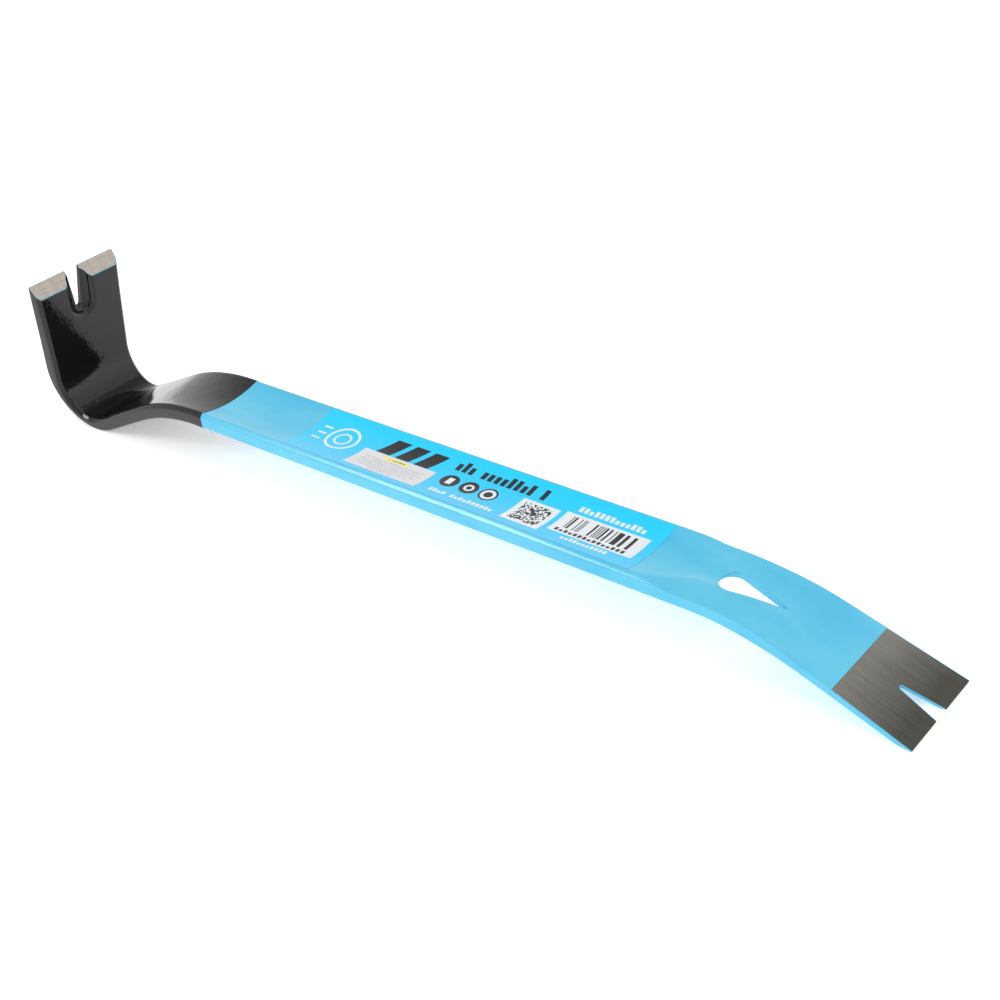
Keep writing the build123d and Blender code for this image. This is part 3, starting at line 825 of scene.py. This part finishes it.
def stoved_blue_enamel(tree, c):
    """Sprayed and stoved enamel. It is glossy, a little deeper where it pooled, with a faint
    orange peel that breaks up the edges of reflections."""
    where = in_millimetres(tree)
    pooled = node(tree, "TexNoise", {
        "Vector": in_millimetres(tree, stretch=(0.4, 1, 1)), "Scale": 1 / 18, "Detail": 3.0,
    })
    peel = node(tree, "TexNoise", {"Vector": where, "Scale": 1 / 1.1, "Detail": 2.0})
    speck = node(tree, "TexVoronoi", {"Vector": where, "Scale": 1 / 9}, out="Distance")
    dust = node(tree, "MapRange", speck, 0.0, 0.035, 1.5, 0.0)
    return {
        "Base Color": layered(tree, c.enamel, [
            (node(tree, "MapRange", pooled, 0.42, 0.68), c.enamel_deep)
        ]),
        "Roughness": node(tree, "MapRange", pooled, 0.35, 0.7, 0.13, 0.2),
        "IOR": 1.5,
        "Normal": node(tree, "Bump", {
            "Height": node(tree, "Math", peel, dust, operation="ADD"),
            "Strength": 0.34, "Distance": 0.00006,
            "Normal": node(tree, "Bevel", {"Radius": 0.00035}, samples=6),
        }),
    }


def dipped_black_lacquer(tree, c):
    """Dipped black lacquer. It is deep and wet-looking, and its surface is wavy enough to make
    the reflections of the bar in itself ragged."""
    where = in_millimetres(tree)
    peel = node(tree, "TexNoise", {
        "Vector": where, "Scale": 1 / 1.6, "Detail": 3.0, "Roughness": 0.55,
    })
    sag = node(tree, "TexNoise", {"Vector": where, "Scale": 1 / 7, "Detail": 1.0})
    return {
        "Base Color": c.lacquer,
        "Roughness": 0.07,
        "IOR": 1.45,
        "Normal": node(tree, "Bump", {
            "Height": node(tree, "Math", sag, 2.0, peel, operation="MULTIPLY_ADD"),
            "Strength": 0.45, "Distance": 0.00012,
            "Normal": node(tree, "Bevel", {"Radius": 0.0004}, samples=6),
        }),
    }


def box_mask(tree, x, y, left, right, low, high):
    """1 inside the box, 0 outside."""
    inside = [
        node(tree, "Math", along, (start + end) / 2, (end - start) / 2, operation="COMPARE")
        for along, start, end in ((x, left, right), (y, low, high))
    ]
    return node(tree, "Math", *inside, operation="MULTIPLY")


def disc_mask(tree, x, y, at_x, at_y, radius):
    """1 inside the disc, 0 outside."""
    where = node(tree, "CombineXYZ", x, y)
    away = node(tree, "VectorMath", where, (at_x, at_y, 0), out="Value", operation="DISTANCE")
    return node(tree, "Math", away, radius, operation="LESS_THAN")


def marks_mask(tree, x, y, left, right, low, high, pitch, seed):
    """A row of small solid blocks that stands for a line of print. Blocks are a whole number of
    pitches from the left end, tall or short by chance, and some are left out between words."""
    start = node(tree, "Math", x, left, operation="SUBTRACT")
    cell = node(tree, "Math", start, pitch, operation="DIVIDE")
    number = node(tree, "Math", cell, operation="FLOOR")
    number = node(tree, "Math", number, seed, operation="ADD")
    chance = node(tree, "TexWhiteNoise", {"W": number}, out="Value", noise_dimensions="1D")
    across = node(tree, "Math", cell, operation="FRACT")
    tall = node(tree, "Math", chance, 0.5, operation="LESS_THAN")
    top = node(tree, "MapRange", tall, 0.0, 1.0, low + 0.7 * (high - low), high)
    end = left + pitch * round((right - left) / pitch)
    shown = box_mask(tree, x, y, left, end, low, high)
    for mask in (
        node(tree, "Math", across, 0.5, 0.34, operation="COMPARE"),
        node(tree, "Math", chance, 0.88, operation="LESS_THAN"),
        node(tree, "Math", y, top, operation="LESS_THAN"),
    ):
        shown = node(tree, "Math", shown, mask, operation="MULTIPLY")
    return shown


def laminated_label_print(tree, c):
    """Gloss-laminated printed film. The flat colours are ink under a clear laminate, so the whole
    label shines evenly, a little smoother than the enamel round it."""
    low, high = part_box("shank_label")
    where = in_millimetres(tree, centre=(low + high) / 2)
    x, y = (node(tree, "SeparateXYZ", where, out=axis) for axis in "XY")
    slant = node(tree, "Math", y, -0.45, x, operation="MULTIPLY_ADD")
    film = layered(tree, c.film, [(node(tree, "MapRange", y, 9.0, -12.0), c.film_near)])
    white, ink = c.white_ink, c.ink
    # a roundel in two thin lines, then three dark discs, two of them with plain shapes
    discs = [
        (-61, 1, 7.0, white), (-61, 1, 6.0, film), (-61, 1, 3.6, white), (-61, 1, 2.8, film),
        (-7.4, -0.8, 3.7, ink), (1.4, -0.8, 3.7, ink), (10.0, -0.8, 3.7, ink),
        (1.4, -0.8, 2.0, white), (1.4, -0.8, 1.1, ink),
        (10.0, -0.8, 2.9, white), (10.0, -0.8, 1.7, ink),
    ]
    # three dashes, three slanted bars, the first disc's shape, and two patches
    boxes = [
        (x, -73.5, -69.5, -3.2, -2.3, white), (x, -73.5, -69.5, 0.6, 1.5, white),
        (x, -73.5, -69.5, 4.4, 5.3, white),
        (slant, -45.0, -38.5, 1.2, 10.0, ink), (slant, -36.0, -29.5, 1.2, 10.0, ink),
        (slant, -27.0, -20.5, 1.2, 10.0, ink),
        (x, -8.6, -6.2, -2.6, 1.2, white),
        (x, 22.3, 38.0, -10.3, 4.0, white), (x, 40.2, 73.8, -7.2, 4.9, white),
    ]
    # left, right, bottom and top, then pitch and seed
    rows = [
        (-11.1, 29.3, 5.6, 10.8, 2.9, 3.0, ink), (-10.2, 19.2, -9.7, -7.6, 1.9, 11.0, white),
        (42.9, 69.8, 6.4, 9.0, 2.1, 23.0, white), (47.4, 66.9, -10.2, -8.2, 1.7, 31.0, white),
        (42.0, 71.0, -6.3, -4.5, 1.9, 47.0, ink),
    ]
    # random squares and random upright bars, neither of them a real code
    cells = node(tree, "VectorMath", node(
        tree, "VectorMath", where, (0.62, 0.62, 1000.0), operation="DIVIDE"
    ), operation="FLOOR")
    columns = node(tree, "Math", node(tree, "Math", x, 0.42, operation="DIVIDE"), operation="FLOOR")
    codes = [
        ({"Vector": cells}, "2D", 0.48, (24.4, 36.0, -8.7, 2.5)),
        ({"W": columns}, "1D", 0.5, (43.5, 70.0, -3.6, 3.6)),
    ]
    layers = [(disc_mask(tree, x, y, *disc), over) for *disc, over in discs]
    layers += [(box_mask(tree, along, y, *box), over) for along, *box, over in boxes]
    layers += [(marks_mask(tree, x, y, *row), over) for *row, over in rows]
    for inputs, dimensions, share, box in codes:
        chance = node(tree, "TexWhiteNoise", inputs, out="Value", noise_dimensions=dimensions)
        dark = node(tree, "Math", chance, share, operation="GREATER_THAN")
        dark = node(tree, "Math", dark, box_mask(tree, x, y, *box), operation="MULTIPLY")
        layers.append((dark, ink))
    ripple = node(tree, "TexNoise", {
        "Vector": in_millimetres(tree), "Scale": 1 / 6, "Detail": 2.0,
    })
    return {
        "Base Color": layered(tree, film, layers),
        "Roughness": 0.14,
        "IOR": 1.5,
        "Normal": node(tree, "Bump", {"Height": ripple, "Strength": 0.12, "Distance": 0.00008}),
    }


def coated_sticker_paper(tree, c):
    """Coated white paper with a yellow bar and rows of fine grey print. Paper is matt beside the
    glossy label, and its fibres mottle it very slightly."""
    low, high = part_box("notice_sticker")
    where = in_millimetres(tree, centre=(low + high) / 2)
    x, y = (node(tree, "SeparateXYZ", where, out=axis) for axis in "XY")
    fibre = node(tree, "TexNoise", {"Vector": where, "Scale": 1 / 0.5, "Detail": 3.0})
    layers = [
        (node(tree, "MapRange", fibre, 0.3, 0.7, 0.0, 0.1), c.paper_shade),
        (box_mask(tree, x, y, -6.0, 5.0, 3.7, 5.2), c.yellow),
        (marks_mask(tree, x, y, -4.0, 4.4, 4.1, 4.9, 0.75, 5.0), c.bar_print),
    ]
    for row, half in enumerate((14.0, 13.0, 14.5, 12.5, 14.0, 11.0, 6.0)):
        top = 2.9 - 1.22 * row
        text = marks_mask(tree, x, y, -half, half, top - 0.62, top, 0.62, 60.0 + 13 * row)
        layers.append((node(tree, "Math", text, 0.6, operation="MULTIPLY"), c.fine_print))
    return {
        "Base Color": layered(tree, c.paper, layers),
        "Roughness": 0.45,
        "IOR": 1.46,
        "Normal": node(tree, "Bump", {"Height": fibre, "Strength": 0.1, "Distance": 0.00003}),
    }


def backlit_white_acrylic(tree, c):
    """White acrylic lit from below, so that the bar throws only a faint shadow on it."""
    return {
        "Base Color": c.floor, "Roughness": 0.9, "IOR": 1.3,
        "Emission Color": c.floor, "Emission Strength": 0.4,
    }


# ---------------------------------------------------------------- operators
class PRYBAR_OT_steel(bpy.types.Operator):
    """Builds the bare forging with its ground hook bevel and claw"""
    bl_idname = "prybar.steel"
    bl_label = "Forged Bar"

    def execute(self, context):
        v = lengths()
        piece = forging(v, "steel_forging", -v.black_coat - v.blue_coat)
        finished(cut(piece, grinding(v)), "forged_bar", belt_ground_steel)
        return {"FINISHED"}


class PRYBAR_OT_enamel(bpy.types.Operator):
    """Builds the blue enamel that covers all but the ground faces"""
    bl_idname = "prybar.enamel"
    bl_label = "Enamel"

    def execute(self, context):
        v = lengths()
        piece = forging(v, "enamel_skin", -v.black_coat)
        inner = forging(v, "enamel_inside", -v.black_coat - v.blue_coat)
        cut(piece, [inner, *grinding(v)])
        finished(piece, "enamel_coat", stoved_blue_enamel)
        return {"FINISHED"}


class PRYBAR_OT_lacquer(bpy.types.Operator):
    """Builds the black lacquer on the hook and neck"""
    bl_idname = "prybar.lacquer"
    bl_label = "Lacquer"

    def execute(self, context):
        v = lengths()
        piece = forging(v, "lacquer_skin", 0.0)
        inner = forging(v, "lacquer_inside", -v.black_coat)
        corners = np.array([(-CUT_REACH, -CUT_REACH), (CUT_REACH, -CUT_REACH),
                            (CUT_REACH, CUT_REACH), (-CUT_REACH, CUT_REACH)])
        beyond = block(v, "beyond_lacquer", corners, (0, 0, 0), (0, 1, 0), (0, 0, 1), (1, 0, 0),
                       (v.black_end, v.overall_length + 2 * CUT_REACH))
        cut(piece, [beyond, inner, *grinding(v)])
        finished(piece, "lacquer_coat", dipped_black_lacquer)
        return {"FINISHED"}


class PRYBAR_OT_label(bpy.types.Operator):
    """Builds the printed label in the shank's trough"""
    bl_idname = "prybar.label"
    bl_label = "Label"

    def execute(self, context):
        v = lengths()
        piece = trough_sheet(v, "printed_label", "shank_label", 0.0, v.label_film)
        finished(piece, "shank_label", laminated_label_print)
        return {"FINISHED"}


class PRYBAR_OT_sticker(bpy.types.Operator):
    """Builds the paper sticker on the label"""
    bl_idname = "prybar.sticker"
    bl_label = "Sticker"

    def execute(self, context):
        v = lengths()
        piece = trough_sheet(v, "paper_sticker", "notice_sticker", v.label_film, v.sticker_paper)
        finished(piece, "notice_sticker", coated_sticker_paper)
        return {"FINISHED"}


class PRYBAR_OT_stage(bpy.types.Operator):
    """Sets up the floor, the soft lights and the camera"""
    bl_idname = "prybar.stage"
    bl_label = "Stage"

    def execute(self, context):
        scene = context.scene
        mesh = bpy.data.meshes.new("sweep")
        corners = [(-4.0, -4.0, 0.0), (4.0, -4.0, 0.0), (4.0, 4.0, 0.0), (-4.0, 4.0, 0.0)]
        mesh.from_pydata(corners, [], [(0, 1, 2, 3)])
        mesh.materials.append(material_of(backlit_white_acrylic))
        floor = bpy.data.objects.new("sweep", mesh)
        scene.collection.objects.link(floor)

        low, high = CAD_BOX
        middle = (low + high) / 2
        lamps = [
            ("front_box", (-0.83, -0.91, 1.0), 0.5, 7.0),
            ("back_box", (0.8, 1.1, 0.8), 2.0, 7.0),
            ("top_box", (0.1, 0.0, 1.6), 1.6, 8.0),
        ]
        for name, place, width, power in lamps:
            light = bpy.data.lights.new(name, "AREA")
            light.shape, light.size, light.energy = "SQUARE", width, power
            lamp = bpy.data.objects.new(name, light)
            lamp.location = middle + Vector(place)
            lamp.rotation_mode = "QUATERNION"
            lamp.rotation_quaternion = (middle - lamp.location).to_track_quat("-Z", "Y")
            scene.collection.objects.link(lamp)

        world = bpy.data.worlds.new("light_tent")
        scene.world = world
        world.use_nodes = True
        tree = world.node_tree
        tree.nodes.clear()
        up = node(tree, "SeparateXYZ", node(tree, "TexCoord", out="Generated"), out="Z")
        shade = node(tree, "MapRange", up, 0.35, 0.95, 1.0, 0.35)
        back = node(tree, "Background", {"Color": (1, 1, 1, 1), "Strength": shade})
        node(tree, "OutputWorld", {"Surface": back})

        camera = bpy.data.cameras.new("camera")
        camera.lens = 57.6
        camera.sensor_width = 36.0
        camera.clip_start, camera.clip_end = 0.01, 20.0
        eye = bpy.data.objects.new("camera", camera)
        eye.location = (0.343076, -0.342770, 0.315826)
        eye.rotation_euler = (radians(57.4356), radians(5.5278), radians(38.7439))
        scene.collection.objects.link(eye)
        scene.camera = eye
        scene.view_settings.view_transform = "Standard"
        return {"FINISHED"}


class PRYBAR_PT_panel(bpy.types.Panel):
    """Lists the pry bar's sizes, colours and pieces"""
    bl_idname = "PRYBAR_PT_panel"
    bl_label = "Pry Bar"
    bl_space_type = "VIEW_3D"
    bl_region_type = "UI"
    bl_category = "Pry Bar"

    def draw(self, context):
        layout = self.layout
        for operator in PIECES:
            layout.operator(operator.bl_idname, text=operator.bl_label)
        for title, group, kind in (
            ("Sizes", context.scene.pry_bar_sizes, PryBarSizes),
            ("Colours", context.scene.pry_bar_colours, PryBarColours),
        ):
            box = layout.box()
            box.label(text=title)
            for name in kind.__annotations__:
                box.prop(group, name, text=name.replace("_", " ").capitalize())


PIECES = (
    PRYBAR_OT_stage, PRYBAR_OT_steel, PRYBAR_OT_enamel, PRYBAR_OT_lacquer, PRYBAR_OT_label,
    PRYBAR_OT_sticker,
)
CLASSES = (PryBarSizes, PryBarColours, *PIECES, PRYBAR_PT_panel)


def register():
    for kind in CLASSES:
        bpy.utils.register_class(kind)
    bpy.types.Scene.pry_bar_sizes = bpy.props.PointerProperty(
        type=PryBarSizes, name="Pry bar sizes", description="Sizes of the pry bar"
    )
    bpy.types.Scene.pry_bar_colours = bpy.props.PointerProperty(
        type=PryBarColours, name="Pry bar colours", description="Colours of the pry bar"
    )


def unregister():
    del bpy.types.Scene.pry_bar_colours
    del bpy.types.Scene.pry_bar_sizes
    for kind in reversed(CLASSES):
        bpy.utils.unregister_class(kind)


def main():
    register()
    bpy.ops.prybar.stage()
    bpy.ops.prybar.steel()
    bpy.ops.prybar.enamel()
    bpy.ops.prybar.lacquer()
    bpy.ops.prybar.label()
    bpy.ops.prybar.sticker()


if __name__ == "__main__":
    main()
